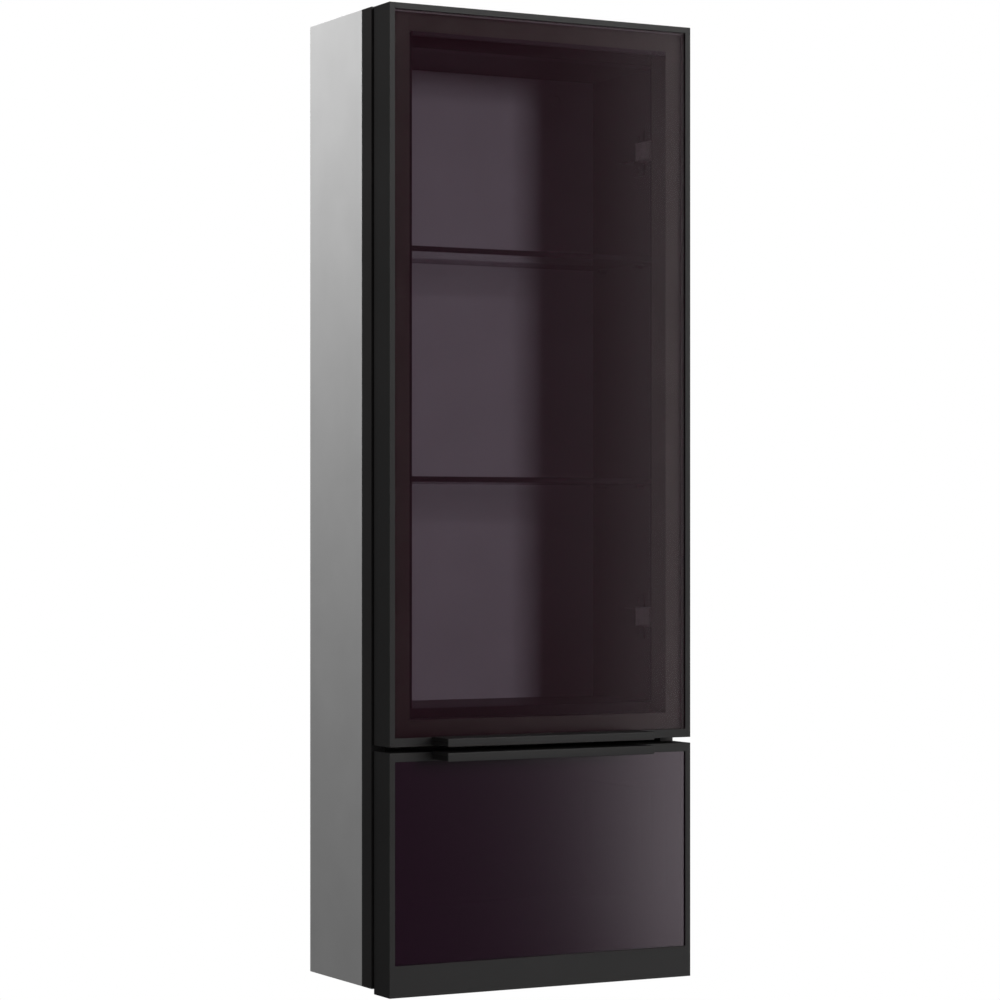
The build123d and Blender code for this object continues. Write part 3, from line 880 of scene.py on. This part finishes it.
@dataclass
class Studio:
    """Camera, white surroundings, pale floor and soft lights, all placed from the fronts' own size.

    The camera's place is in heights of the two fronts, from their lower left corner. The strip's target is
    so many metres back from that corner, and so many heights above it.
    """

    camera_side: float = -1.4044
    camera_back: float = -2.8615
    camera_height: float = 0.4671
    camera_turn: float = math.radians(-28.13)
    lens: float = 114.4
    sensor: float = 36.0
    shift: float = 0.033
    fill: float = 0.165
    floor_drop: float = 1.45
    floor_reach: float = 30.0
    strip_back: float = 0.15
    strip_up: float = 0.95

    def build(self) -> None:
        """Set everything up."""
        door_low, door_high = corners("door_stile_left")
        drawer_low, _ = corners("drawer_stile_left")
        height = door_high[2] - drawer_low[2]
        near_corner = np.array([door_low[0], door_low[1], drawer_low[2]])
        self.camera(near_corner, height)
        self.surroundings()
        self.floor(drawer_low[2] - self.floor_drop * height)
        self.lights(near_corner, height)

    def camera(self, corner: np.ndarray, height: float) -> None:
        """A long-lens camera, level, turned towards the near corner.

        Args:
            corner: the fronts' lower left corner.
            height: the two fronts' height, in metres.
        """
        data = bpy.data.cameras.new("camera")
        data.lens = self.lens
        data.sensor_width = self.sensor
        data.shift_y = self.shift
        data.clip_end = 50.0
        away = np.array([self.camera_side, self.camera_back, self.camera_height])
        camera = bpy.data.objects.new("camera", data)
        camera.location = Vector(corner + height * away)
        camera.rotation_euler = (math.pi / 2, 0.0, self.camera_turn)
        bpy.context.scene.collection.objects.link(camera)
        bpy.context.scene.camera = camera

    def surroundings(self) -> None:
        """White behind everything, and a much dimmer fill on the object itself."""
        scene = bpy.context.scene
        scene.view_settings.view_transform = "Standard"
        scene.view_settings.look = "None"
        world = bpy.data.worlds.new("white_surroundings")
        scene.world = world
        world.use_nodes = True
        tree = world.node_tree
        tree.nodes.clear()
        seen = add_node(tree, "ShaderNodeBackground", {"Color": (1, 1, 1, 1), "Strength": 1.0})
        fill = add_node(tree, "ShaderNodeBackground", {"Color": (1, 1, 1, 1), "Strength": self.fill})
        path = add_node(tree, "ShaderNodeLightPath")
        mixed = add_node(tree, "ShaderNodeMixShader", links={0: path.outputs["Is Camera Ray"],
                                                             1: fill.outputs[0], 2: seen.outputs[0]})
        add_node(tree, "ShaderNodeOutputWorld", links={"Surface": mixed.outputs[0]})

    def floor(self, level: float) -> None:
        """A plain pale floor, white where the camera sees it and softly lit for the object.

        Args:
            level: height of its top, in metres.
        """
        reach = self.floor_reach
        low = np.array([-reach, -reach, level - 0.05])
        high = np.array([reach, reach, level])
        floor = make_piece("studio_floor", rounded_block(low, high, 0.01))
        material = bpy.data.materials.new("pale_floor")
        material.use_nodes = True
        tree = material.node_tree
        tree.nodes.clear()
        seen = add_node(tree, "ShaderNodeEmission", {"Color": (1, 1, 1, 1), "Strength": 1.0})
        lit = add_node(tree, "ShaderNodeBsdfDiffuse", {"Color": linear("b0b0b0")})
        path = add_node(tree, "ShaderNodeLightPath")
        mixed = add_node(tree, "ShaderNodeMixShader", links={0: path.outputs["Is Camera Ray"],
                                                             1: lit.outputs[0], 2: seen.outputs[0]})
        add_node(tree, "ShaderNodeOutputMaterial", links={"Surface": mixed.outputs[0]})
        floor.data.materials.append(material)

    def lights(self, corner: np.ndarray, height: float) -> None:
        """Aim the strip at the left side's top, and the other lights at the middle of the fronts.

        Args:
            corner: the fronts' lower left corner.
            height: the two fronts' height, in metres.
        """
        middle = np.array([0.0, corner[1], corner[2] + height / 2])
        top_left = np.array([corner[0], corner[1] + self.strip_back, corner[2] + self.strip_up * height])
        for box, target in ((KEY, middle), (PANE_FILL, middle), (STRIP, top_left), (TALL, middle),
                            (HIGH, middle)):
            box.build(target)

    @staticmethod
    def link_lights() -> None:
        """Let the smoked panes see only the tall reflector and their own fill, for a smooth sheen."""
        panes = [bpy.data.objects[name] for name in ("made_door_glass", "made_drawer_glass")]
        groups = {
            ("all_but_the_panes", "EXCLUDE"): (KEY, STRIP, HIGH),
            ("only_the_panes", "INCLUDE"): (PANE_FILL,),
        }
        for (title, state), boxes in groups.items():
            group = bpy.data.collections.new(title)
            for pane in panes:
                group.objects.link(pane)
            for entry in group.collection_objects:
                entry.light_linking.link_state = state
            for box in boxes:
                bpy.data.objects[box.name].light_linking.receiver_collection = group


def main() -> None:
    dresser = Dresser()
    Studio().build()
    Carcass(dresser).build()
    Shelves(dresser).build()
    door = GlassFront(dresser, "door", SMOKED)
    door.build()
    door.seal()
    GlassFront(dresser, "drawer", INKED).build()
    Hinges(dresser).build()
    DrawerBox(dresser).build()
    Studio.link_lights()


if __name__ == "__main__":
    logging.basicConfig(level=logging.INFO)
    main()
